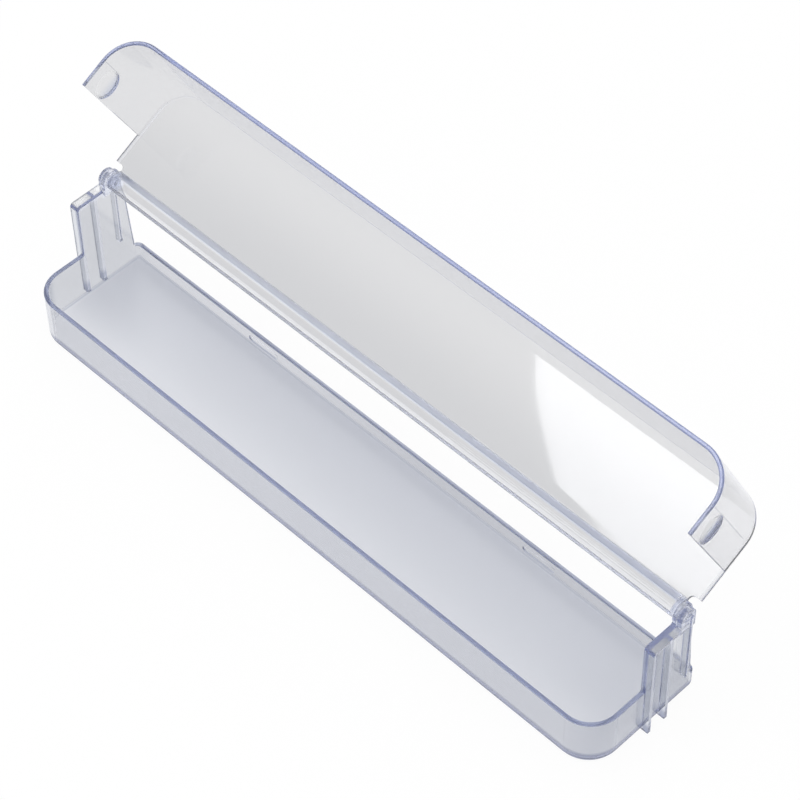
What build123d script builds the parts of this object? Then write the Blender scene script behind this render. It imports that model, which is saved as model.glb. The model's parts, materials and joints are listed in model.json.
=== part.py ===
from build123d import *
import math
import os

# Fridge door shelf: a clear moulded tray with a clear lid that flips up on moulded pins.
# X runs along the shelf, +Y points at the door it hangs on, +Z is up.
# The origin is the middle of the tray's underside. Sizes are millimetres, angles are degrees.

# Tray
tray_length = 480.0
tray_depth = 89.0
front_height = 37.0
rear_height = 14.5
tray_wall = 3.0
floor_thickness = 2.4
front_corner_radius = 21.5
rear_corner_radius = 5.0
bottom_edge_radius = 4.0
floor_edge_radius = 1.6
rim_chamfer = 0.3

# Oblong recesses in the rear wall
recess_length = 26.0
recess_height = 5.0
recess_depth = 0.9
recess_spacing = 238.0
recess_centre_height = 7.8

# Uprights at the two ends of the tray
upright_depth = 29.5
roof_height = 79.4
upright_corner_radius = 3.0
upright_foot_radius = 1.2

# Hinge, in the uprights
hinge_setback = 16.5
hinge_rise = 4.6
eye_radius = 7.2
eye_fillet = 1.6
boss_radius = 6.0
boss_reach = 3.4
boss_drop = 11.0
boss_end_wall = 0.9

# Fins outside each upright: two long ones under a roof make the channel for a lug of the door
fin_reach = 4.6
fin_thickness = 2.4
roof_thickness = 2.2
channel_pitch = 14.0
fin_foot_height = 1.2
short_fin_offset = 2.0
short_fin_foot_height = 25.5
fin_rounding = 0.8

# Lid, drawn closed and then swung open: its walls stand outside the tray's by these gaps
lid_wall = 2.7
panel_thickness = 2.4
lid_end_gap = 0.9
lid_front_gap = 0.7
lid_rim_height = 6.0
lid_draft = 0.93
lid_corner_radius = 24.0
lid_edge_radius = 2.0
lid_rim_rounding = 1.0
end_wall_rounding = 0.5
panel_rise = 1.9
end_wall_gap = 2.8
open_angle = 152.1

# Hinge barrel along the lid's rear edge, with a disc and a pin at each end
barrel_radius = 6.4
barrel_offset = 1.0
barrel_wall = 2.2
barrel_bore_offset = 0.8
barrel_root_radius = 1.2
barrel_lip = 2.0
barrel_end_clearance = 0.6
disc_thickness = 2.6
pin_radius = 3.5
pin_clearance = 0.05
pin_end_clearance = 0.4
pin_chamfer = 0.6

# Notch in the lid's panel round each upright
notch_front_gap = 4.3
notch_side_clearance = 0.9
notch_radius = 3.0

# Finger dimple in each end wall of the lid
dimple_flat_radius = 4.5
dimple_edge_radius = 14.0
dimple_depth = 0.8
dimple_tilt = 6.3
dimple_rear_gap = 10.2
dimple_rim_gap = 16.2

# Sizes that follow from the ones above
half_length = tray_length / 2
half_depth = tray_depth / 2
hinge_y = half_depth - hinge_setback
hinge_z = roof_height + hinge_rise
upright_front = hinge_y - upright_depth
upright_inner_face = half_length - tray_wall
tub_height = hinge_z + 2 * eye_radius
barrel_half_length = upright_inner_face - barrel_end_clearance
barrel_y = hinge_y - barrel_offset
bore_end = half_length + boss_reach - boss_end_wall
panel_top = hinge_z + panel_rise
panel_underside = panel_top - panel_thickness
lid_length = tray_length + 2 * (lid_end_gap + lid_wall)
lid_reach = hinge_y + half_depth + lid_front_gap + lid_wall
lid_depth = panel_top - lid_rim_height
end_wall_start = upright_depth + end_wall_gap
notch_reach = eye_radius + notch_front_gap
dimple_forward = end_wall_start + dimple_rear_gap
dimple_drop = hinge_z - lid_rim_height - dimple_rim_gap
hinge_axis = Axis((0, hinge_y, hinge_z), (1, 0, 0))


def tray_plan(inset):
    """The tray seen from above, drawn inside its outer faces by the inset."""
    plan = Rectangle(tray_length - 2 * inset, tray_depth - 2 * inset)
    plan = fillet(plan.vertices().group_by(Axis.Y)[0], front_corner_radius - inset)
    return fillet(plan.vertices().group_by(Axis.Y)[-1], rear_corner_radius - inset)


def tub():
    """A tall open tub with the tray's walls and floor."""
    outer = extrude(tray_plan(0), tub_height)
    outer = fillet(outer.edges().group_by(Axis.Z)[0], bottom_edge_radius)
    inner = Pos(0, 0, floor_thickness) * extrude(tray_plan(tray_wall), tub_height)
    inner = fillet(inner.edges().group_by(Axis.Z)[0], floor_edge_radius)
    return outer - inner


def eye_tangent_point(foot_y, foot_z):
    """Where a straight edge that rises from the foot touches the rear of the eye."""
    rise = math.atan2(hinge_z - foot_z, hinge_y - foot_y)
    distance = math.hypot(hinge_y - foot_y, hinge_z - foot_z)
    turn = math.asin(eye_radius / distance)
    direction = rise - turn
    length = math.sqrt(distance**2 - eye_radius**2)
    return foot_y + length * math.cos(direction), foot_z + length * math.sin(direction)


def side_profile():
    """The tray seen from its end: low front and rear walls, and an upright with a hinge eye."""
    foot_y = half_depth - rear_corner_radius
    tangent_point = eye_tangent_point(foot_y, rear_height)
    walls = make_face(
        Polyline(
            (-half_depth, 0),
            (-half_depth, front_height),
            (upright_front, front_height),
            (upright_front, roof_height),
            (hinge_y, roof_height),
            (hinge_y, hinge_z),
            tangent_point,
            (foot_y, rear_height),
            (half_depth, rear_height),
            (half_depth, 0),
            close=True,
        )
    )
    profile = walls + Pos(hinge_y, hinge_z) * Circle(eye_radius)
    roof_corner = profile.vertices().sort_by_distance((upright_front, roof_height, 0))[0]
    profile = fillet(roof_corner, upright_corner_radius)
    eye_reach = math.sqrt(eye_radius**2 - (hinge_z - roof_height) ** 2)
    eye_corner = profile.vertices().sort_by_distance((hinge_y - eye_reach, roof_height, 0))[0]
    profile = fillet(eye_corner, eye_fillet)
    for corner_y, corner_z in ((upright_front, front_height), (foot_y, rear_height)):
        foot = profile.vertices().sort_by_distance((corner_y, corner_z, 0))[0]
        profile = fillet(foot, upright_foot_radius)
    return profile


def strip(y_start, y_end, z_start, z_end):
    """A rectangle of the side view between two depths and two heights."""
    return Pos((y_start + y_end) / 2, (z_start + z_end) / 2) * Rectangle(y_end - y_start, z_end - z_start)


def fin_pattern():
    """The fins and their roof, seen from the end, inside the outline of the upright."""
    second_fin = upright_front + channel_pitch
    short_fin = hinge_y + short_fin_offset - fin_thickness / 2
    pattern = strip(upright_front, upright_front + fin_thickness, fin_foot_height, roof_height)
    pattern += strip(second_fin, second_fin + fin_thickness, fin_foot_height, roof_height)
    pattern += strip(short_fin, short_fin + fin_thickness, short_fin_foot_height, hinge_z)
    pattern += strip(upright_front, hinge_y, roof_height - roof_thickness, roof_height)
    return pattern & side_profile()


def boss_pattern():
    """The arched boss round the hinge pin, seen from the end."""
    leg = strip(hinge_y - boss_radius, hinge_y + boss_radius, hinge_z - boss_drop, hinge_z)
    return (leg & side_profile()) + Pos(hinge_y, hinge_z) * Circle(boss_radius)


def across(profile, x_start, x_end):
    """A side view made solid between two places along the shelf."""
    return extrude(Plane.YZ.offset(x_start) * profile, x_end - x_start)


def end_fittings():
    """Everything that stands out from the tray's right-hand end."""
    root = half_length - tray_wall / 2
    fins = across(fin_pattern(), root, half_length + fin_reach)
    fins = fillet(fins.faces().sort_by(Axis.X)[-1].outer_wire().edges(), fin_rounding)
    boss = across(boss_pattern(), root, half_length + boss_reach)
    return fins + boss


def rear_recesses():
    """Oblong hollows in the inner face of the rear wall."""
    inner_face = half_depth - tray_wall
    outline = SlotOverall(recess_length, recess_height)
    wall_plane = Plane((0, inner_face + recess_depth, recess_centre_height), (1, 0, 0), (0, -1, 0))
    hollow = extrude(wall_plane * outline, recess_depth + tray_wall)
    return [Pos(side * recess_spacing / 2, 0, 0) * hollow for side in (-1, 1)]


def door_tray():
    tray = tub() & across(side_profile(), -half_length, half_length)
    rim_edges = tray.edges().filter_by_position(Axis.Z, front_height, front_height)
    tray = chamfer(rim_edges.filter_by(lambda edge: edge.length > 2 * tray_wall), rim_chamfer)
    fittings = end_fittings()
    tray = tray + fittings + mirror(fittings, Plane.YZ)
    bore = across(Pos(hinge_y, hinge_z) * Circle(pin_radius + pin_clearance), -bore_end, bore_end)
    return tray - bore - rear_recesses()


def lid_plan(inset):
    """The lid seen from above, from its front to the hinge, drawn inside its outer faces."""
    front = hinge_y - lid_reach + inset
    width = lid_length - 2 * inset
    plan = Pos(0, (front + hinge_y) / 2) * Rectangle(width, hinge_y - front)
    return fillet(plan.vertices().group_by(Axis.Y)[0], lid_corner_radius - inset)


def lid_hood():
    """Top panel, front wall and end walls, with their draft."""
    outer = extrude(Plane.XY.offset(panel_top) * lid_plan(0), -lid_depth, taper=-lid_draft)
    top_edges = outer.faces().sort_by(Axis.Z)[-1].edges().sort_by(Axis.Y)[:-1]
    outer = fillet(top_edges, lid_edge_radius)
    inner = extrude(Plane.XY.offset(panel_underside) * lid_plan(lid_wall), -lid_depth, taper=-lid_draft)
    hood = outer - inner
    panel_end = barrel_y - barrel_radius + barrel_wall / 2
    for start, top in ((hinge_y - end_wall_start, panel_underside), (panel_end, panel_top)):
        behind = strip(start, hinge_y + lid_reach, top - 2 * lid_depth, top)
        hood = hood - across(behind, -lid_length, lid_length)
    rim_edges = hood.faces().sort_by(Axis.Z)[0].edges().filter_by(lambda edge: edge.length > 2 * lid_wall)
    hood = fillet(rim_edges, lid_rim_rounding)
    wall_end = hinge_y - end_wall_start
    end_edges = hood.edges().filter_by_position(Axis.Y, wall_end, wall_end)
    return fillet(end_edges.filter_by(lambda edge: edge.length > lid_depth / 2), end_wall_rounding)


def panel_notch():
    """The corner of the panel that is cut away round the right-hand upright."""
    inner_side = upright_inner_face - notch_side_clearance
    outline = Pos(inner_side + lid_length / 2, hinge_y) * Rectangle(lid_length, 2 * notch_reach)
    inner_front = outline.vertices().group_by(Axis.Y)[0].sort_by(Axis.X)[0]
    outline = fillet(inner_front, notch_radius)
    return extrude(Plane.XY.offset(hinge_z - lid_depth) * outline, 2 * lid_depth)


def barrel_root():
    """The rounded corner between the panel's underside and the barrel, seen from the end."""
    flank = barrel_y - math.sqrt(barrel_radius**2 - (hinge_z - panel_underside) ** 2)
    corner = strip(
        flank - barrel_root_radius, flank + barrel_wall / 2, panel_underside - barrel_root_radius, panel_top
    )
    hollow = Pos(flank - barrel_root_radius, panel_underside - barrel_root_radius) * Circle(barrel_root_radius)
    return corner - hollow


def hinge_barrel():
    """A half tube along the hinge, closed by discs that carry the pins."""
    centre = Pos(barrel_y, hinge_z)
    lower_half = strip(
        barrel_y - barrel_radius, barrel_y + barrel_radius, hinge_z - barrel_radius, hinge_z - barrel_lip
    )
    bore_radius = barrel_radius - barrel_wall
    bore_centre = Pos(barrel_y + barrel_bore_offset, hinge_z)
    ring = centre * Circle(barrel_radius) - bore_centre * Circle(bore_radius) - lower_half
    barrel = across(ring, -barrel_half_length, barrel_half_length)
    root_end = upright_inner_face - notch_side_clearance
    barrel = barrel + across(barrel_root(), -root_end, root_end)
    pin_end = bore_end - pin_end_clearance
    for side in (-1, 1):
        disc = across(
            centre * Circle(barrel_radius),
            side * (barrel_half_length - disc_thickness),
            side * barrel_half_length,
        )
        pin = across(
            Pos(hinge_y, hinge_z) * Circle(pin_radius),
            side * (barrel_half_length - disc_thickness),
            side * pin_end,
        )
        pin = chamfer(pin.edges().sort_by(Axis.X)[-1 if side > 0 else 0], pin_chamfer)
        barrel = barrel + disc + pin
    return barrel


def finger_dimple():
    """A tilted scoop in the right-hand end wall, deep towards the panel and fading to the rim."""
    wall_face = lid_length / 2 + dimple_drop * math.tan(math.radians(lid_draft))
    centre = (wall_face - dimple_depth, hinge_y - dimple_forward, hinge_z - dimple_drop)
    scoop = extrude(Circle(dimple_flat_radius + dimple_edge_radius), 2 * dimple_edge_radius)
    scoop = fillet(scoop.edges().group_by(Axis.Z)[0], dimple_edge_radius)
    return Pos(*centre) * Rot(0, -dimple_tilt - lid_draft, 0) * Rot(0, 90, 0) * scoop


def flip_lid():
    hood = lid_hood()
    for cut in (panel_notch(), finger_dimple()):
        hood = hood - cut - mirror(cut, Plane.YZ)
    lid = hood + hinge_barrel()
    return lid.rotate(hinge_axis, -open_angle)


os.makedirs("parts", exist_ok=True)
export_step(door_tray(), "parts/door_tray.step")
export_step(flip_lid(), "parts/flip_lid.step")
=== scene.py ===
import json
import math
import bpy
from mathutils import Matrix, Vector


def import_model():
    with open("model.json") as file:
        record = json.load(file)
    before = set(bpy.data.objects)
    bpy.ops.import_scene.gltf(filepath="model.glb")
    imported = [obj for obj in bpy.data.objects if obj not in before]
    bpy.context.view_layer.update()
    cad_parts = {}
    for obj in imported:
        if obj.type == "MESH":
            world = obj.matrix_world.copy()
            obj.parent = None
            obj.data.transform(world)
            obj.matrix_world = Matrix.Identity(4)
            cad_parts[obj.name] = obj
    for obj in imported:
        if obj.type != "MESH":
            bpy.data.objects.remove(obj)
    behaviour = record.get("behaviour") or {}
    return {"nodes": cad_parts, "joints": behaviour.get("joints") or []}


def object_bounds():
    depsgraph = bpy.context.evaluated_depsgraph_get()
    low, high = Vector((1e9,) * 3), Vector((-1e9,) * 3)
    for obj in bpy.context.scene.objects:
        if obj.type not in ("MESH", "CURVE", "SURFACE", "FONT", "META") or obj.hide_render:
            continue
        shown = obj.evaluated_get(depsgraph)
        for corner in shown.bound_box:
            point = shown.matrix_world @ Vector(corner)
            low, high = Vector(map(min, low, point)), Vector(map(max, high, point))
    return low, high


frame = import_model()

from types import SimpleNamespace

import bpy
from bpy.props import FloatProperty, FloatVectorProperty, PointerProperty
from mathutils import Euler, Vector

bl_info = {
    "name": "Clear Fridge Door Shelf",
    "version": (1, 0, 0),
    "blender": (4, 5, 0),
    "location": "View3D > Sidebar > Door Shelf",
    "description": "Finishes a clear moulded door shelf with a flip-up lid, and sets its studio",
    "category": "Object",
}

CAD_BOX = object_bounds()
TRAY_NODE = "door_tray"
LID_NODE = "flip_lid"
MM = 0.001


def mm(start, end):
    """A pair of lengths in millimetres, as metres."""
    return start * MM, end * MM


# Directions of the shelf, and of the lid as it stands open
ORIGIN = Vector((0.0, 0.0, 0.0))
RIGHT = Vector((1.0, 0.0, 0.0))
BACK = Vector((0.0, 1.0, 0.0))
UP = Vector((0.0, 0.0, 1.0))
HINGE = Vector(frame["joints"][0]["pos_m"])
LID_OPEN = math.radians(152.1)
LID_ALONG = Vector((0.0, -math.cos(LID_OPEN), math.sin(LID_OPEN)))
LID_UP = Vector((0.0, -math.sin(LID_OPEN), -math.cos(LID_OPEN)))

# The pairs from here on are the start and the end of a soft change
WHOLE = (0.0, 1.0)
MIDDLE = mm(-1, 1)

# How squarely a face looks in a direction, as the cosine of the angle between them
FLOOR_FACING = (0.05, 0.2)
FOOT_FACING = (0.05, 0.2)
TOP_FACING = (0.5, 0.75)
FRONT_EDGE_FACING = (0.6, 0.9)
CORNER_FACING = (0.25, 0.7)
UNDERSIDE_FACING = (0.9, 0.98)
RIM_EDGE_FACING = (0.15, 0.4)
RIM_TOP_FACING = (0.93, 0.99)
DIMPLE_FLOOR_FACING = (0.955, 0.995)

# On the lid, from the hinge along the panel
LIP_EDGE = mm(-3.9, -3.5)
BARREL_EDGE = mm(-1.7, -0.9)
BAND_TILT = mm(3, 7.4)
BAND_START = mm(3.4, 3.9)
BAND_END = mm(7.3, 8)
SWELL_START = mm(6, 15)
DISC_RIM = mm(7, 8)
HINGE_FADE = mm(8, 68)
ROOT_END = mm(9, 9.6)
END_EDGE_START = mm(9, 10)
END_SEAM_STOP = mm(32, 32.4)
PARTING_LINE = 52.3 * MM
PARTING_WIDTH = mm(0.2, 0.45)

# On the lid, from the hinge square to the panel
END_EDGE_TOP = mm(0.3, 0.45)
ROOT_HEIGHT = mm(0.55, 0.75)
END_SEAM_TOP = mm(0.7, 0.9)
BAND_HEIGHT = mm(1.4, 1.8)
PANEL_TOP = mm(2, 4)
PARTING_RIGHT = mm(8, 14)
PARTING_LEFT = mm(50, 68)
RIM_HEIGHT = mm(74, 75)

# On the lid, from the middle of the shelf to its ends
BAND_FADE = mm(-120, 200)
DISC_START = mm(231, 232)
DIMPLE_WALL = mm(238, 239)
END_SEAM_INNER = mm(241.1, 241.4)
END_SEAM_OUTER = mm(241.6, 241.9)
END_EDGE = mm(241.4, 241.8)
PARTING_FACE = mm(242.5, 243)
END_SEAM_SHARE = 0.6

# The finger dimples in the lid's ends: their centre, along and square to the panel, and distances from it
DIMPLE_ALONG = 42.5 * MM
DIMPLE_UP = 61.8 * MM
DIMPLE_RIM = mm(10, 11)
DIMPLE_SHADE = mm(-8.5, 1.5)

# On the tray, above its underside
FLOOR_SEAM = mm(2.5, 2.9)
FLOOR_TOP = mm(3.4, 4.4)
FIN_FOOT = mm(5, 12)
FOOT_TOP = mm(5.8, 8.2)
UPRIGHT_FOOT = mm(15, 18)
FRONT_EDGE_FOOT = mm(37.5, 39)
RIM_TO_TOP = mm(42, 50)
EYE_FOOT = mm(73, 76)
ROOF = mm(76.6, 77.4)

# On the tray, from its middle to the rear
FLOOR_REAR_PART = mm(-30, 5)
FRONT = mm(-28, -20)
FLOOR_DEPTH = mm(-22, 42)
ROOF_REAR = mm(17, 19)
EYE_FRONT = mm(18, 20)
REAR_WALL = mm(40.5, 41.5)

# On the tray, from its middle to its ends
FLOOR_LENGTH = mm(-240, 240)
LEFT_CORNER = mm(-236, -226)
REAR_FADE = mm(-150, 60)
FLOOR_ENDS = mm(150, 238)
RIGHT_CORNER = mm(220, 225)
END_FADE = mm(222, 239)
UPRIGHT_INSIDE = mm(235.5, 236.2)
FRONT_EDGE_INNER = mm(236, 236.5)
FRONT_EDGE_OUTER = mm(240, 240.3)
FINS = mm(240.2, 240.5)
FLOOR_SHADE_RIGHT = 0.35
FLOOR_SHADE_ENDS = 0.5

# Fine relief and scuffs
SWELL = 0.008
GRAIN = 0.008
RELIEF_DEPTH = 0.01
BAND_SLOPE = 0.25
GRAIN_HEIGHT = (0.3, 0.7)
GRAIN_ROUGHNESS = 0.04
SCUFF_ROUGHNESS = 0.03
SCUFF_TURN = (0.3, 0.5, 0.62)
SCUFF_STRETCH = (0.12, 1.0, 1.0)
SCUFF_PATCHES = (0.52, 0.7)
NOISE_MIDDLE = 0.5

# The studio
FLOOR_REACH = 6.0
FLOOR_LEVEL = -0.4 * MM
SENSOR_WIDTH = 36.0
VIEW_REACH = 50.0
CEILING_EDGE = (0.35, 0.75)
REAR_LIGHT_FROM = Vector((-0.47, 0.70, 0.53)).normalized()
REAR_LIGHT_EDGE = (0.915, 0.965)
LIGHT_BOUNCES = 64


def number_setting(name, description, default, lowest=0.0, **more):
    """A number property with a lowest value."""
    return FloatProperty(name=name, description=description, default=default, min=lowest, **more)


def share_setting(name, description, default):
    """A property between zero and one."""
    return number_setting(name, description, default, subtype="FACTOR", max=1.0)


def vector_setting(name, description, default, **more):
    """A property of three numbers."""
    return FloatVectorProperty(name=name, description=description, default=default, size=3, **more)


def colour_setting(name, description, default):
    """A colour property."""
    return vector_setting(name, description, default, subtype="COLOR", min=0.0, max=1.0)


def place_setting(name, description, default):
    """A property for a place in the studio."""
    return vector_setting(name, description, default, subtype="TRANSLATION", unit="LENGTH")


class DoorShelfPlastic(bpy.types.PropertyGroup):
    """Colours and gloss of the clear plastic, with painted light and shade on many of its parts"""

    refraction: number_setting("Refraction", "Index of refraction of the clear plastic", 1.57, 1.0, max=2.0)
    depth_tint: colour_setting(
        "Depth Tint", "Colour that deep plastic turns, as seen in its rims and edges", (0.15, 0.28, 0.79)
    )
    tray_density: number_setting(
        "Tray Density", "How fast the tray's tint deepens, per metre of plastic", 9.5
    )
    lid_density: number_setting(
        "Lid Density", "How fast the lid's tint deepens, per metre of plastic", 7.5
    )

    lid_tint: colour_setting("Lid Tint", "Colour of the lid's clear walls", (0.785, 0.785, 0.79))
    # Painted shade: the panel is darker by the hinge, fading away from it
    lid_hinge_painted_shade: colour_setting(
        "Lid Hinge Tint", "Colour of the lid's panel by the hinge", (0.69, 0.693, 0.705)
    )
    # Painted light and shade on the barrel's band: lighter at the left, darker at the right
    band_painted_light: colour_setting(
        "Band Tint", "Colour of the lid's band on the hinge barrel, at the left", (0.88, 0.91, 0.97)
    )
    band_right_painted_shade: colour_setting(
        "Band Right Tint", "Colour of the lid's band on the hinge barrel, at the right", (0.63, 0.665, 0.77)
    )
    # Painted light: the barrel's free side is a little lighter than the walls
    barrel_painted_light: colour_setting(
        "Barrel Tint", "Colour of the hinge barrel's free side", (0.82, 0.825, 0.83)
    )
    # Painted light: the barrel's free edge is lightened to white
    lip_painted_light: colour_setting("Lip Tint", "Colour of the hinge barrel's free edge", (1.0, 1.0, 1.0))
    # Painted light: the hinge eyes, the discs and the uprights' roofs are lighter and bluer than the walls
    eye_painted_light: colour_setting("Eye Tint", "Colour of the hinge eyes and discs", (0.86, 0.885, 0.96))
    # Painted shade across the dimples' floors, toward the panel's side
    dimple_painted_shade: colour_setting(
        "Hollow Tint", "Colour of the dimples' floors, on the panel's side", (0.61, 0.64, 0.72)
    )
    # Painted light: the dimples' slopes are lightened to white
    dimple_slope_painted_light: colour_setting("Dimple Tint", "Colour of the dimples' slopes", (1.0, 1.0, 1.0))
    # Painted light: the panel's rounded end edges are lightened nearly to white
    end_edge_painted_light: colour_setting(
        "End Edge Tint", "Colour of the lid panel's rounded end edges", (0.93, 0.94, 0.98)
    )
    # Painted shade: the lid rim's rounded edges and the uprights' front edges are darkened
    edge_painted_shade: colour_setting(
        "Edge Tint", "Colour of the lid rim's rounded edges and the uprights' front edges", (0.38, 0.41, 0.50)
    )
    # Painted highlight: the uprights' tops and the lid rim's flat top are lightened to white
    top_painted_highlight: colour_setting(
        "Top Tint", "Colour of the uprights' tops and the lid's rim", (1.0, 1.0, 1.0)
    )
    line_tint: colour_setting(
        "Line Tint", "Colour of the parting lines on the lid's ends", (0.45, 0.46, 0.50)
    )

    wall_tint: colour_setting(
        "Tray Wall Tint", "Colour of the tray's long clear walls", (0.765, 0.77, 0.79)
    )
    # Painted shade: the rear wall darkens toward the right
    rear_wall_painted_shade: colour_setting(
        "Rear Wall Tint", "Colour of the tray's rear wall at the right", (0.60, 0.61, 0.64)
    )
    # Painted shade on the end walls and uprights, darker at the left than at the right
    left_end_painted_shade: colour_setting(
        "Left End Tint", "Colour of the tray's left end wall and upright", (0.68, 0.69, 0.715)
    )
    right_end_painted_shade: colour_setting(
        "Right End Tint", "Colour of the tray's right end wall and upright", (0.72, 0.73, 0.755)
    )
    # Painted shade in the tray's left front corner
    corner_painted_shade: colour_setting(
        "Front Corner Tint", "Colour of the tray's left front corner", (0.43, 0.45, 0.51)
    )
    # Painted shade on the fins, darkest at their feet
    fin_painted_shade: colour_setting("Fin Tint", "Colour of the fins on the tray's ends", (0.75, 0.77, 0.81))
    fin_foot_painted_shade: colour_setting("Fin Foot Tint", "Colour of the fins' feet", (0.34, 0.37, 0.49))
    # Painted shade along the tray's lower outer edges
    foot_painted_shade: colour_setting(
        "Foot Tint", "Colour of the tray's lower outer edges", (0.29, 0.315, 0.45)
    )
    # Painted shade: the tray's rims are a deeper blue than its walls
    rim_painted_shade: colour_setting("Rim Tint", "Colour of the tray's rims", (0.47, 0.51, 0.63))
    # The floor's colour at the front, where its painted shade is lightest
    floor_front_tint: colour_setting(
        "Floor Front Tint", "Colour of the satin floor at the front", (0.845, 0.86, 0.90)
    )
    # Painted shade on the floor, toward the rear, the right and the ends
    floor_painted_shade: colour_setting(
        "Floor Rear Tint", "Colour of the satin floor at the rear", (0.60, 0.62, 0.68)
    )
    # Painted shade in the rounded creases where the walls meet the floor
    seam_painted_shade: colour_setting(
        "Seam Tint", "Colour of the rounded seams where the tray's walls meet its floor", (0.44, 0.46, 0.535)
    )

    polish: share_setting("Polish Roughness", "Roughness of the polished walls", 0.03)
    band_roughness: share_setting("Band Roughness", "Roughness of the lid's band on the hinge barrel", 0.35)
    lip_roughness: share_setting("Lip Roughness", "Roughness of the hinge barrel's free edge", 0.35)
    hinge_roughness: share_setting("Hinge Roughness", "Roughness of the hinge eyes, discs and pins", 0.22)
    end_edge_roughness: share_setting(
        "End Edge Roughness", "Roughness of the lid panel's rounded end edges", 0.5
    )
    dimple_roughness: share_setting("Dimple Roughness", "Roughness of the dimples' slopes", 0.4)
    lid_rim_roughness: share_setting("Lid Rim Roughness", "Roughness of the lid's rim", 0.18)
    upright_roughness: share_setting("Upright Roughness", "Roughness of the tray's uprights", 0.1)
    roof_roughness: share_setting("Roof Roughness", "Roughness of the uprights' tops", 0.55)
    rim_roughness: share_setting("Rim Roughness", "Roughness of the tray's rims", 0.3)
    floor_roughness: share_setting("Floor Roughness", "Roughness of the satin floor", 0.32)


class DoorShelfStudio(bpy.types.PropertyGroup):
    """Camera, lamps and backdrop"""

    camera_place: place_setting("Camera Place", "Where the camera stands", (0.80834, -0.73735, 1.40791))
    camera_turn: vector_setting(
        "Camera Turn",
        "How the camera is turned",
        (math.radians(39.695), math.radians(0.821), math.radians(44.935)),
        subtype="EULER",
        unit="ROTATION",
    )
    focal_length: number_setting(
        "Focal Length", "Focal length in millimetres on a 36 mm sensor", 131.84, 1.0
    )
    backdrop: colour_setting("Backdrop", "Colour of the floor and of the room", (1.0, 1.0, 1.0))
    shadow_share: share_setting(
        "Shadow Share", "How much of the floor's brightness comes from the lamps", 0.05
    )
    room_light: number_setting("Room Light", "Strength of the room's light on the floor", 0.9)
    ceiling: share_setting("Ceiling", "Brightness of the room overhead, where its sides are white", 0.55)
    rear_light: number_setting(
        "Rear Light", "Brightness of the room behind the shelf, above its floor", 2.5
    )
    softbox_place: place_setting("Softbox Place", "Centre of the round softbox", (-0.392, -0.382, 1.6))
    softbox_width: number_setting(
        "Softbox Width", "Diameter of the round softbox", 0.61, 0.01, unit="LENGTH"
    )
    softbox_power: number_setting("Softbox Power", "Power of the softbox in watts", 2.85)


def feed(tree, socket, value):
    """Give an input its value: a link from another socket, or a plain value."""
    if isinstance(value, bpy.types.NodeSocket):
        tree.links.new(value, socket)
    else:
        socket.default_value = value


def node_of(tree, kind, inputs=None, **settings):
    """Add a node with its settings; inputs maps its inputs' names or numbers to sockets or plain values."""
    node = tree.nodes.new(kind)
    for key, value in settings.items():
        setattr(node, key, value)
    for key, value in (inputs or {}).items():
        feed(tree, node.inputs[key], value)
    return node


def coordinates(tree, kind):
    """Where a point of a surface lies, or which way it looks."""
    return node_of(tree, "ShaderNodeTexCoord").outputs[kind]


def maths(tree, operation, *terms):
    """The result of a sum, product or the like, whose terms are sockets or plain numbers."""
    return node_of(tree, "ShaderNodeMath", dict(enumerate(terms)), operation=operation).outputs[0]


def dot_product(tree, first, second):
    """How far one vector reaches along another."""
    node = node_of(tree, "ShaderNodeVectorMath", {0: first, 1: second}, operation="DOT_PRODUCT")
    return node.outputs["Value"]


def straight_ramp(tree, value, limits, low=0.0, high=1.0, **settings):
    """An even change from low to high while the value goes from the first limit to the second."""
    inputs = {"Value": value, "From Min": limits[0], "From Max": limits[1], "To Min": low, "To Max": high}
    return node_of(tree, "ShaderNodeMapRange", inputs, **settings).outputs[0]


def ramp(tree, value, limits, low=0.0, high=1.0):
    """A soft change from low to high while the value goes from the first limit to the second."""
    return straight_ramp(tree, value, limits, low, high, interpolation_type="SMOOTHSTEP")


def past(tree, value, limits):
    """A mask that is one past the limits."""
    return ramp(tree, value, limits)


def before(tree, value, limits):
    """A mask that is one before the limits."""
    return ramp(tree, value, limits, 1.0, 0.0)


def outside(tree, mask):
    """A mask that is one where another is zero."""
    return before(tree, mask, WHOLE)


def overlap(tree, first, *others):
    """A mask that is one where all the masks are."""
    for other in others:
        first = maths(tree, "MULTIPLY", first, other)
    return first


def either(tree, first, second):
    """A mask that is one where either mask is."""
    return maths(tree, "MAXIMUM", first, second)


def blend(tree, mask, low, high):
    """A value or colour between two others, each a socket or plain, by a mask."""
    sides = (low, high)
    colour = not all(isinstance(side, float) or getattr(side, "type", "") == "VALUE" for side in sides)
    mix = node_of(tree, "ShaderNodeMix", {0: mask}, data_type="RGBA" if colour else "FLOAT")
    for place, side in zip((6, 7) if colour else (2, 3), sides):
        plain_colour = colour and not isinstance(side, bpy.types.NodeSocket)
        feed(tree, mix.inputs[place], (*side, 1.0) if plain_colour else side)
    return mix.outputs[2 if colour else 0]


def layered(tree, base, layers):
    """A value or colour with others laid over it in turn, each where its mask is one."""
    for mask, value in layers:
        base = blend(tree, mask, base, value)
    return base


def shared_group(name, inputs, output, build):
    """A shader node group, made once; build gets its tree and inputs and returns what it puts out."""
    if name in bpy.data.node_groups:
        return bpy.data.node_groups[name]
    tree = bpy.data.node_groups.new(name, "ShaderNodeTree")
    for socket_name, default in inputs.items():
        kind = "NodeSocketFloat" if isinstance(default, float) else "NodeSocketVector"
        socket = tree.interface.new_socket(socket_name, in_out="INPUT", socket_type=kind)
        socket.default_value = default
    tree.interface.new_socket(output, in_out="OUTPUT", socket_type="NodeSocketFloat")
    given = tree.nodes.new("NodeGroupInput").outputs
    result = tree.nodes.new("NodeGroupOutput").inputs[output]
    tree.links.new(build(tree, given), result)
    return tree


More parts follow.
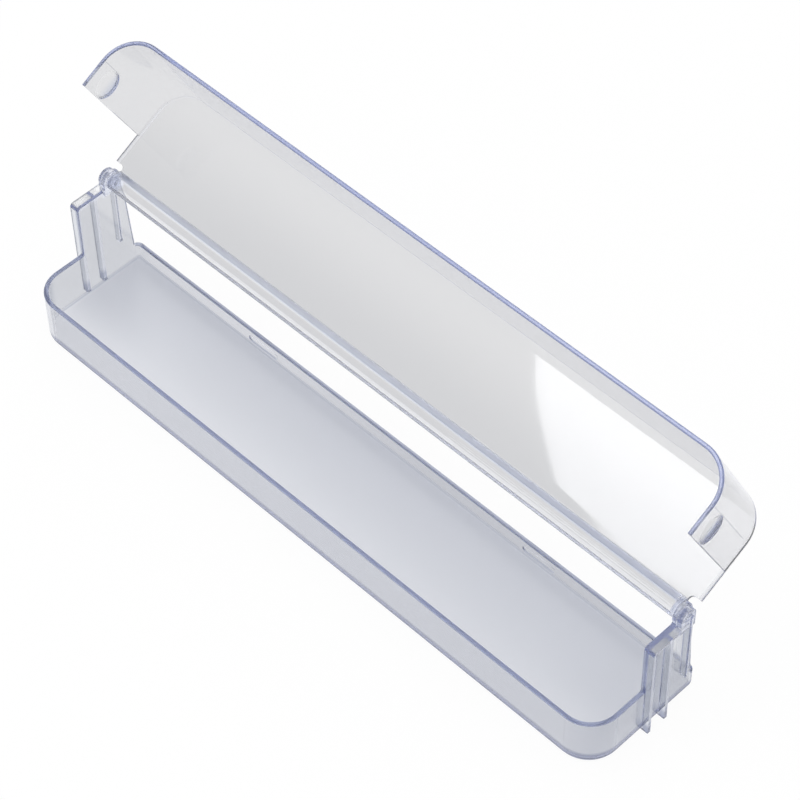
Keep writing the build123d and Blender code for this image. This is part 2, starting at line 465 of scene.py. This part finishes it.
def distance_group():
    """How far a place lies along a direction, from a start, in the object's own frame."""

    def build(tree, given):
        along = dot_product(tree, coordinates(tree, "Object"), given["Direction"])
        return maths(tree, "SUBTRACT", along, given["Start"])

    return shared_group("Distance Along", {"Direction": UP, "Start": 0.0}, "Distance", build)


def facing_group():
    """A mask that is one where the surface faces a direction of the object's own frame."""

    def build(tree, given):
        along = dot_product(tree, coordinates(tree, "Normal"), given["Direction"])
        return straight_ramp(tree, along, (given["Start"], given["Full"]))

    inputs = {"Direction": UP, "Start": TOP_FACING[0], "Full": TOP_FACING[1]}
    return shared_group("Facing", inputs, "Mask", build)


def scuff_group():
    """Fine hairline scuffs in patches: a mask that is one inside a scuff."""

    def build(tree, given):
        place = coordinates(tree, "Object")
        turn = {"Vector": place, "Rotation": SCUFF_TURN, "Scale": SCUFF_STRETCH}
        turned = node_of(tree, "ShaderNodeMapping", turn).outputs["Vector"]
        streaks = {"Vector": turned, "Scale": given["Scale"], "Detail": 3.0, "Roughness": 0.6}
        streak = node_of(tree, "ShaderNodeTexNoise", streaks).outputs["Fac"]
        aside = maths(tree, "ABSOLUTE", maths(tree, "SUBTRACT", streak, NOISE_MIDDLE))
        line = straight_ramp(tree, aside, (0.0, given["Reach"]), 1.0, 0.0)
        patches = {"Vector": place, "Scale": 22.0, "Detail": 1.0}
        patch = node_of(tree, "ShaderNodeTexNoise", patches).outputs["Fac"]
        return overlap(tree, line, straight_ramp(tree, patch, SCUFF_PATCHES))

    return shared_group("Hairline Scuffs", {"Scale": 90.0, "Reach": 0.02}, "Mask", build)


def noise_group(name, scale, detail, roughness):
    """A height that changes over a distance set by its scale."""

    def build(tree, given):
        inputs = {"Vector": coordinates(tree, "Object"), "Scale": given["Scale"]}
        inputs.update({"Detail": detail, "Roughness": roughness})
        return node_of(tree, "ShaderNodeTexNoise", inputs).outputs["Fac"]

    return shared_group(name, {"Scale": scale}, "Height", build)


def swell_group():
    """Slow swell of a moulded sheet, over some centimetres."""
    return noise_group("Moulded Swell", 14.0, 1.0, 0.4)


def grain_group():
    """Fine grain of a satin face, over some tenths of a millimetre."""
    return noise_group("Satin Grain", 1600.0, 2.0, 0.6)


def group_value(tree, group, **inputs):
    """What a shared effect puts out in a material."""
    return node_of(tree, "ShaderNodeGroup", inputs, node_tree=group).outputs[0]


def distance(tree, direction, start=ORIGIN):
    """How far a place lies along a direction, from a start."""
    return group_value(tree, distance_group(), Direction=direction, Start=direction.dot(start))


def facing(tree, direction, limits):
    """A mask that is one where the surface faces a direction."""
    return group_value(tree, facing_group(), Direction=direction, Start=limits[0], Full=limits[1])


def facing_either_way(tree, direction, limits):
    """A mask that is one where the surface faces along a direction or against it."""
    return either(tree, facing(tree, -direction, limits), facing(tree, direction, limits))


def clear_plastic(name, settings, density):
    """A clear plastic with a depth tint; returns the material, its tree and its surface shader."""
    material = bpy.data.materials.new(name)
    material.use_nodes = True
    tree = material.node_tree
    tree.nodes.clear()
    clear = {"IOR": settings.refraction, "Transmission Weight": 1.0, "Metallic": 0.0}
    surface = node_of(tree, "ShaderNodeBsdfPrincipled", clear)
    deep = {"Color": (*settings.depth_tint, 1.0), "Density": density}
    depth = node_of(tree, "ShaderNodeVolumeAbsorption", deep)
    shown = {"Surface": surface.outputs["BSDF"], "Volume": depth.outputs["Volume"]}
    node_of(tree, "ShaderNodeOutputMaterial", shown)
    return material, tree, surface


def polished_roughness(tree, settings):
    """Roughness of a polished wall with a few hairline scuffs."""
    scuffs = group_value(tree, scuff_group())
    return ramp(tree, scuffs, WHOLE, settings.polish, settings.polish + SCUFF_ROUGHNESS)


def lid_axes(tree):
    """Where a place lies on the lid: along the shelf, from its middle, and along and above the panel."""
    along = distance(tree, RIGHT)
    return SimpleNamespace(
        along=along,
        to_end=maths(tree, "ABSOLUTE", along),
        from_hinge=distance(tree, LID_ALONG, HINGE),
        height=distance(tree, LID_UP, HINGE),
    )


def lid_dimples(tree, axes):
    """Masks for the painted shade on the floors and for the slopes of the lid's finger dimples."""
    aside = maths(tree, "SUBTRACT", axes.from_hinge, DIMPLE_ALONG)
    above = maths(tree, "SUBTRACT", axes.height, DIMPLE_UP)
    offset = node_of(tree, "ShaderNodeCombineXYZ", {"X": aside, "Y": above}).outputs[0]
    away = node_of(tree, "ShaderNodeVectorMath", {0: offset}, operation="LENGTH").outputs["Value"]
    dimple = overlap(tree, before(tree, away, DIMPLE_RIM), past(tree, axes.to_end, DIMPLE_WALL))
    # painted shade over the dimple's floor, on the panel's side of its centre
    dimple_shade_mask = overlap(tree, dimple, before(tree, above, DIMPLE_SHADE))
    sloping = outside(tree, facing_either_way(tree, RIGHT, DIMPLE_FLOOR_FACING))
    return dimple_shade_mask, overlap(tree, dimple, sloping)


def lid_lines(tree, axes):
    """A mask for the parting lines on the lid's ends and the seam along the panel's right end."""
    aside = maths(tree, "ABSOLUTE", maths(tree, "SUBTRACT", axes.from_hinge, PARTING_LINE))
    line = overlap(tree, before(tree, aside, PARTING_WIDTH), past(tree, axes.to_end, PARTING_FACE))
    left = past(tree, axes.height, PARTING_LEFT)
    right = past(tree, axes.height, PARTING_RIGHT)
    line = overlap(tree, line, blend(tree, past(tree, axes.along, MIDDLE), left, right))
    seam = overlap(
        tree,
        past(tree, axes.along, END_SEAM_INNER),
        before(tree, axes.along, END_SEAM_OUTER),
        past(tree, axes.from_hinge, END_EDGE_START),
        before(tree, axes.from_hinge, END_SEAM_STOP),
        before(tree, axes.height, END_SEAM_TOP),
    )
    return either(tree, line, ramp(tree, seam, WHOLE, 0.0, END_SEAM_SHARE))


def lid_zones(tree, axes):
    """Masks for the parts of the lid that differ in finish or carry painted light and shade."""
    from_hinge = axes.from_hinge
    height = axes.height
    panel = before(tree, height, PANEL_TOP)
    past_barrel = past(tree, from_hinge, BAND_START)
    rim = past(tree, height, RIM_HEIGHT)
    dimple_shade_mask, slope = lid_dimples(tree, axes)
    return SimpleNamespace(
        swell=overlap(tree, panel, past(tree, from_hinge, SWELL_START)),
        near_hinge=overlap(tree, panel, before(tree, from_hinge, HINGE_FADE)),
        band=overlap(tree, past_barrel, before(tree, from_hinge, BAND_END)),
        band_right=past(tree, axes.along, BAND_FADE),
        band_raised=past(tree, height, BAND_HEIGHT),
        root=overlap(
            tree, past_barrel, before(tree, from_hinge, ROOT_END), past(tree, height, ROOT_HEIGHT)
        ),
        barrel=before(tree, from_hinge, BARREL_EDGE),
        lip=before(tree, from_hinge, LIP_EDGE),
        disc=overlap(tree, past(tree, axes.to_end, DISC_START), before(tree, from_hinge, DISC_RIM)),
        dimple_shade_mask=dimple_shade_mask,
        slope=slope,
        end_edge=overlap(
            tree,
            past(tree, axes.to_end, END_EDGE),
            before(tree, height, END_EDGE_TOP),
            past(tree, from_hinge, END_EDGE_START),
        ),
        rim_edge=overlap(tree, rim, facing(tree, LID_UP, RIM_EDGE_FACING)),
        rim_top=overlap(tree, rim, facing(tree, LID_UP, RIM_TOP_FACING)),
        line=lid_lines(tree, axes),
    )


def lid_relief(tree, axes, zones):
    """The lid's normal: its band is shaded as if it leaned a little, and its panel has a slow swell."""
    rise = BAND_SLOPE * (BAND_TILT[1] - BAND_TILT[0])
    lean = overlap(tree, straight_ramp(tree, axes.from_hinge, BAND_TILT, rise, 0.0), zones.band_raised)
    tilt = node_of(tree, "ShaderNodeBump", {"Height": lean, "Strength": 1.0, "Distance": 1.0})
    swell = overlap(tree, group_value(tree, swell_group()), zones.swell)
    relief = {"Height": swell, "Strength": SWELL, "Distance": RELIEF_DEPTH, "Normal": tilt.outputs["Normal"]}
    return node_of(tree, "ShaderNodeBump", relief).outputs["Normal"]


def lid_material(settings):
    """The lid's clear plastic: polished walls, with the hinge, the rim and the dimples less so, and painted
    light and shade on its hinge, dimples, edges and rim.
    """
    material, tree, surface = clear_plastic("lid_clear_plastic", settings, settings.lid_density)
    axes = lid_axes(tree)
    zones = lid_zones(tree, axes)
    tints = (
        # painted shade on the panel by the hinge
        (zones.near_hinge, settings.lid_hinge_painted_shade),
        # painted light and shade on the band, lighter at the left and darker at the right
        (zones.band, blend(tree, zones.band_right, settings.band_painted_light, settings.band_right_painted_shade)),
        # painted light on the barrel's free side
        (zones.barrel, settings.barrel_painted_light),
        # painted light on the barrel's free edge
        (zones.lip, settings.lip_painted_light),
        # painted light on the hinge discs
        (zones.disc, settings.eye_painted_light),
        # painted shade on the dimples' floors
        (zones.dimple_shade_mask, settings.dimple_painted_shade),
        # painted light on the dimples' slopes
        (zones.slope, settings.dimple_slope_painted_light),
        # painted light on the panel's end edges
        (zones.end_edge, settings.end_edge_painted_light),
        # painted shade on the rim's rounded edges
        (zones.rim_edge, settings.edge_painted_shade),
        # painted highlight on the rim's flat top
        (zones.rim_top, settings.top_painted_highlight),
        (zones.line, settings.line_tint),
    )
    roughnesses = (
        (zones.root, settings.band_roughness),
        (zones.lip, settings.lip_roughness),
        (zones.disc, settings.hinge_roughness),
        (zones.end_edge, settings.end_edge_roughness),
        (zones.slope, settings.dimple_roughness),
        (zones.rim_edge, settings.lid_rim_roughness),
    )
    polished = polished_roughness(tree, settings)
    feed(tree, surface.inputs["Base Color"], layered(tree, settings.lid_tint, tints))
    feed(tree, surface.inputs["Roughness"], layered(tree, polished, roughnesses))
    feed(tree, surface.inputs["Normal"], lid_relief(tree, axes, zones))
    return material


def tray_axes(tree):
    """Where a place lies on the tray: along the shelf, from its middle, to the rear and up."""
    along = distance(tree, RIGHT)
    return SimpleNamespace(
        along=along,
        to_end=maths(tree, "ABSOLUTE", along),
        depth=distance(tree, BACK),
        height=distance(tree, UP),
    )


def tray_floor(tree, axes, settings):
    """A mask for the tray's satin floor, and its colour with painted shade: darker to the rear, to the right,
    by the ends and at its seams with the walls.
    """
    floor = overlap(tree, facing(tree, UP, FLOOR_FACING), before(tree, axes.height, FLOOR_TOP))
    rear = straight_ramp(tree, axes.depth, FLOOR_DEPTH)
    right = ramp(tree, axes.along, FLOOR_LENGTH, 0.0, FLOOR_SHADE_RIGHT)
    ends = ramp(tree, axes.to_end, FLOOR_ENDS, 0.0, FLOOR_SHADE_ENDS)
    ends = overlap(tree, past(tree, axes.depth, FLOOR_REAR_PART), ends)
    seam = overlap(tree, floor, past(tree, axes.height, FLOOR_SEAM))
    layers = [(shade, settings.floor_painted_shade) for shade in (rear, right, ends)]
    # painted shade in the creases by the walls
    layers.append((seam, settings.seam_painted_shade))
    return floor, layered(tree, settings.floor_front_tint, layers)


def tray_feet(tree, axes, front):
    """Masks for the painted shade on the fins' feet and on the lower outer edges at the tray's front and
    right end.
    """
    not_under = outside(tree, facing(tree, -UP, UNDERSIDE_FACING))
    fin_foot = overlap(tree, not_under, before(tree, axes.height, FIN_FOOT))
    front_foot = overlap(tree, front, facing(tree, -BACK, FOOT_FACING))
    right_foot = overlap(tree, facing(tree, RIGHT, FOOT_FACING), past(tree, axes.along, RIGHT_CORNER))
    low = overlap(tree, not_under, before(tree, axes.height, FOOT_TOP))
    return fin_foot, overlap(tree, low, either(tree, front_foot, right_foot))


def tray_zones(tree, axes):
    """Masks for the parts of the tray that differ in finish or carry painted light and shade, apart from its
    floor.
    """
    depth = axes.depth
    height = axes.height
    front = before(tree, depth, FRONT)
    upright = past(tree, axes.to_end, UPRIGHT_INSIDE)
    roof = past(tree, height, ROOF)
    eye = overlap(tree, past(tree, depth, EYE_FRONT), past(tree, height, EYE_FOOT))
    fin_foot, foot = tray_feet(tree, axes, front)
    return SimpleNamespace(
        right_half=past(tree, axes.along, MIDDLE),
        rear_wall=overlap(tree, past(tree, depth, REAR_WALL), past(tree, axes.along, REAR_FADE)),
        ends=past(tree, axes.to_end, END_FADE),
        left_corner=overlap(
            tree, front, before(tree, axes.along, LEFT_CORNER), facing_either_way(tree, BACK, CORNER_FACING)
        ),
        fins=past(tree, axes.to_end, FINS),
        fin_foot=fin_foot,
        foot=foot,
        uprights=overlap(tree, upright, past(tree, height, UPRIGHT_FOOT)),
        front_edge=overlap(
            tree,
            facing(tree, -BACK, FRONT_EDGE_FACING),
            past(tree, axes.to_end, FRONT_EDGE_INNER),
            past(tree, height, FRONT_EDGE_FOOT),
            before(tree, axes.to_end, FRONT_EDGE_OUTER),
        ),
        eye=overlap(tree, upright, either(tree, eye, roof)),
        top=facing(tree, UP, TOP_FACING),
        high_top=past(tree, height, RIM_TO_TOP),
        roof_top=overlap(tree, roof, before(tree, depth, ROOF_REAR)),
    )


def tray_material(settings):
    """The tray's clear plastic: polished walls, satin rims and a satin floor with a fine grain, with painted
    shade on its walls, edges, fins and floor and painted highlights on its uprights' tops.
    """
    material, tree, surface = clear_plastic("tray_clear_plastic", settings, settings.tray_density)
    axes = tray_axes(tree)
    zones = tray_zones(tree, axes)
    floor, floor_tint = tray_floor(tree, axes, settings)
    grain = group_value(tree, grain_group())
    smooth = settings.floor_roughness - GRAIN_ROUGHNESS
    coarse = settings.floor_roughness + GRAIN_ROUGHNESS
    tints = (
        # painted shade on the rear wall at the right
        (zones.rear_wall, settings.rear_wall_painted_shade),
        # painted shade on the ends, darker at the left
        (zones.ends, blend(tree, zones.right_half, settings.left_end_painted_shade, settings.right_end_painted_shade)),
        # painted shade in the left front corner
        (zones.left_corner, settings.corner_painted_shade),
        # painted shade on the fins, darkest at their feet
        (zones.fins, blend(tree, zones.fin_foot, settings.fin_painted_shade, settings.fin_foot_painted_shade)),
        # painted shade on the uprights' front edges
        (zones.front_edge, settings.edge_painted_shade),
        # painted shade along the lower outer edges
        (zones.foot, settings.foot_painted_shade),
        # painted light on the hinge eyes and roofs
        (zones.eye, settings.eye_painted_light),
        # painted shade on the rims, painted highlight on the uprights' tops
        (zones.top, blend(tree, zones.high_top, settings.rim_painted_shade, settings.top_painted_highlight)),
        # the satin floor with its painted shade
        (floor, floor_tint),
    )
    roughnesses = (
        (zones.uprights, settings.upright_roughness),
        (zones.eye, settings.hinge_roughness),
        (zones.top, blend(tree, zones.roof_top, settings.rim_roughness, settings.roof_roughness)),
        (floor, ramp(tree, grain, GRAIN_HEIGHT, smooth, coarse)),
    )
    polished = polished_roughness(tree, settings)
    relief = {"Height": overlap(tree, grain, floor), "Strength": GRAIN, "Distance": RELIEF_DEPTH}
    feed(tree, surface.inputs["Base Color"], layered(tree, settings.wall_tint, tints))
    feed(tree, surface.inputs["Roughness"], layered(tree, polished, roughnesses))
    feed(tree, surface.inputs["Normal"], node_of(tree, "ShaderNodeBump", relief).outputs["Normal"])
    return material


def finish_node(node_name, material):
    """Give a CAD node its finish on every material slot."""
    shown = frame["nodes"][node_name]
    if not shown.material_slots:
        shown.data.materials.append(material)
    for slot in shown.material_slots:
        slot.material = material


class DOORSHELF_OT_tray(bpy.types.Operator):
    """Finish the tray in clear plastic with a satin floor"""

    bl_idname = "doorshelf.tray"
    bl_label = "Finish Tray"

    def execute(self, context):
        finish_node(TRAY_NODE, tray_material(context.scene.door_shelf_plastic))
        return {"FINISHED"}


class DOORSHELF_OT_lid(bpy.types.Operator):
    """Finish the lid in polished clear plastic"""

    bl_idname = "doorshelf.lid"
    bl_label = "Finish Lid"

    def execute(self, context):
        finish_node(LID_NODE, lid_material(context.scene.door_shelf_plastic))
        return {"FINISHED"}


def backdrop_material(studio):
    """A floor that shows the backdrop's colour and keeps a share of the lamps' light and shadow."""
    material = bpy.data.materials.new("studio_floor")
    material.use_nodes = True
    tree = material.node_tree
    tree.nodes.clear()
    colour = (*studio.backdrop, 1.0)
    lit = node_of(tree, "ShaderNodeBsdfDiffuse", {"Color": colour})
    glow = node_of(tree, "ShaderNodeEmission", {"Color": colour, "Strength": 1.0})
    path = node_of(tree, "ShaderNodeLightPath").outputs
    seen = either(tree, path["Is Camera Ray"], path["Is Glossy Ray"])
    seen = either(tree, seen, path["Is Transmission Ray"])
    share = maths(tree, "MULTIPLY", seen, 1.0 - studio.shadow_share)
    mix = node_of(tree, "ShaderNodeMixShader", {0: share, 1: lit.outputs[0], 2: glow.outputs[0]})
    node_of(tree, "ShaderNodeOutputMaterial", {"Surface": mix.outputs[0]})
    return material


def white_room(studio):
    """The world: white at its sides, bright behind, dimmer overhead, with an even light on the floor."""
    world = bpy.data.worlds.new("white_room")
    world.use_nodes = True
    tree = world.node_tree
    tree.nodes.clear()
    direction = coordinates(tree, "Generated")
    height = node_of(tree, "ShaderNodeSeparateXYZ", {"Vector": direction}).outputs["Z"]
    shown = ramp(tree, height, CEILING_EDGE, 1.0, studio.ceiling)
    behind = past(tree, dot_product(tree, direction, REAR_LIGHT_FROM), REAR_LIGHT_EDGE)
    shown = blend(tree, behind, shown, studio.rear_light)
    path = node_of(tree, "ShaderNodeLightPath").outputs
    strength = blend(tree, path["Is Diffuse Ray"], shown, studio.room_light)
    light = {"Strength": strength, "Color": (*studio.backdrop, 1.0)}
    room = node_of(tree, "ShaderNodeBackground", light)
    node_of(tree, "ShaderNodeOutputWorld", {"Surface": room.outputs[0]})
    return world


def add_object(scene, name, data):
    """Add an object to the scene."""
    added = bpy.data.objects.new(name, data)
    scene.collection.objects.link(added)
    return added


def add_floor(scene, studio):
    """Lay the floor just under the shelf."""
    mesh = bpy.data.meshes.new("studio_floor")
    sides = ((-1, -1), (1, -1), (1, 1), (-1, 1))
    corners = [(x * FLOOR_REACH, y * FLOOR_REACH, FLOOR_LEVEL) for x, y in sides]
    mesh.from_pydata(corners, [], [(0, 1, 2, 3)])
    mesh.materials.append(backdrop_material(studio))
    floor = add_object(scene, "studio_floor", mesh)


def add_softbox(scene, studio):
    """Hang the round softbox and point it at the middle of the shelf."""
    lamp = bpy.data.lights.new("softbox", "AREA")
    lamp.shape = "DISK"
    lamp.size = studio.softbox_width
    lamp.energy = studio.softbox_power
    softbox = add_object(scene, "softbox", lamp)
    centre = (CAD_BOX[0] + CAD_BOX[1]) / 2
    place = Vector(studio.softbox_place)
    softbox.location = place
    softbox.rotation_euler = (centre - place).to_track_quat("-Z", "Y").to_euler()


def add_camera(scene, studio):
    """Set up the camera."""
    lens = bpy.data.cameras.new("camera")
    lens.sensor_width = SENSOR_WIDTH
    lens.lens = studio.focal_length
    lens.clip_end = VIEW_REACH
    camera = add_object(scene, "camera", lens)
    camera.location = studio.camera_place
    camera.rotation_euler = Euler(studio.camera_turn)
    scene.camera = camera


class DOORSHELF_OT_studio(bpy.types.Operator):
    """Set the floor, the white room, the softbox and the camera"""

    bl_idname = "doorshelf.studio"
    bl_label = "Set Studio"

    def execute(self, context):
        scene = context.scene
        studio = scene.door_shelf_studio
        add_floor(scene, studio)
        scene.world = white_room(studio)
        add_softbox(scene, studio)
        add_camera(scene, studio)
        scene.view_settings.view_transform = "Standard"
        for kind in ("max_bounces", "transmission_bounces", "glossy_bounces"):
            setattr(scene.cycles, kind, LIGHT_BOUNCES)
        return {"FINISHED"}


class DOORSHELF_PT_sidebar(bpy.types.Panel):
    """Door shelf settings and steps"""

    bl_idname = "DOORSHELF_PT_sidebar"
    bl_label = "Door Shelf"
    bl_space_type = "VIEW_3D"
    bl_region_type = "UI"
    bl_category = "Door Shelf"

    def draw(self, context):
        layout = self.layout
        for settings in (context.scene.door_shelf_plastic, context.scene.door_shelf_studio):
            column = layout.column(align=True)
            for key in settings.__annotations__:
                column.prop(settings, key)
        for step in STEPS:
            layout.operator(step.bl_idname)


STEPS = (DOORSHELF_OT_tray, DOORSHELF_OT_lid, DOORSHELF_OT_studio)
CLASSES = (DoorShelfPlastic, DoorShelfStudio, *STEPS, DOORSHELF_PT_sidebar)


def register():
    """Add the settings, the steps and the panel to Blender."""
    for cls in CLASSES:
        bpy.utils.register_class(cls)
    bpy.types.Scene.door_shelf_plastic = PointerProperty(type=DoorShelfPlastic)
    bpy.types.Scene.door_shelf_studio = PointerProperty(type=DoorShelfStudio)


def unregister():
    """Take the panel, the steps and the settings out of Blender."""
    del bpy.types.Scene.door_shelf_studio
    del bpy.types.Scene.door_shelf_plastic
    for cls in reversed(CLASSES):
        bpy.utils.unregister_class(cls)


def main():
    """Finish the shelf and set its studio."""
    register()
    bpy.ops.doorshelf.tray()
    bpy.ops.doorshelf.lid()
    bpy.ops.doorshelf.studio()


if __name__ == "__main__":
    main()
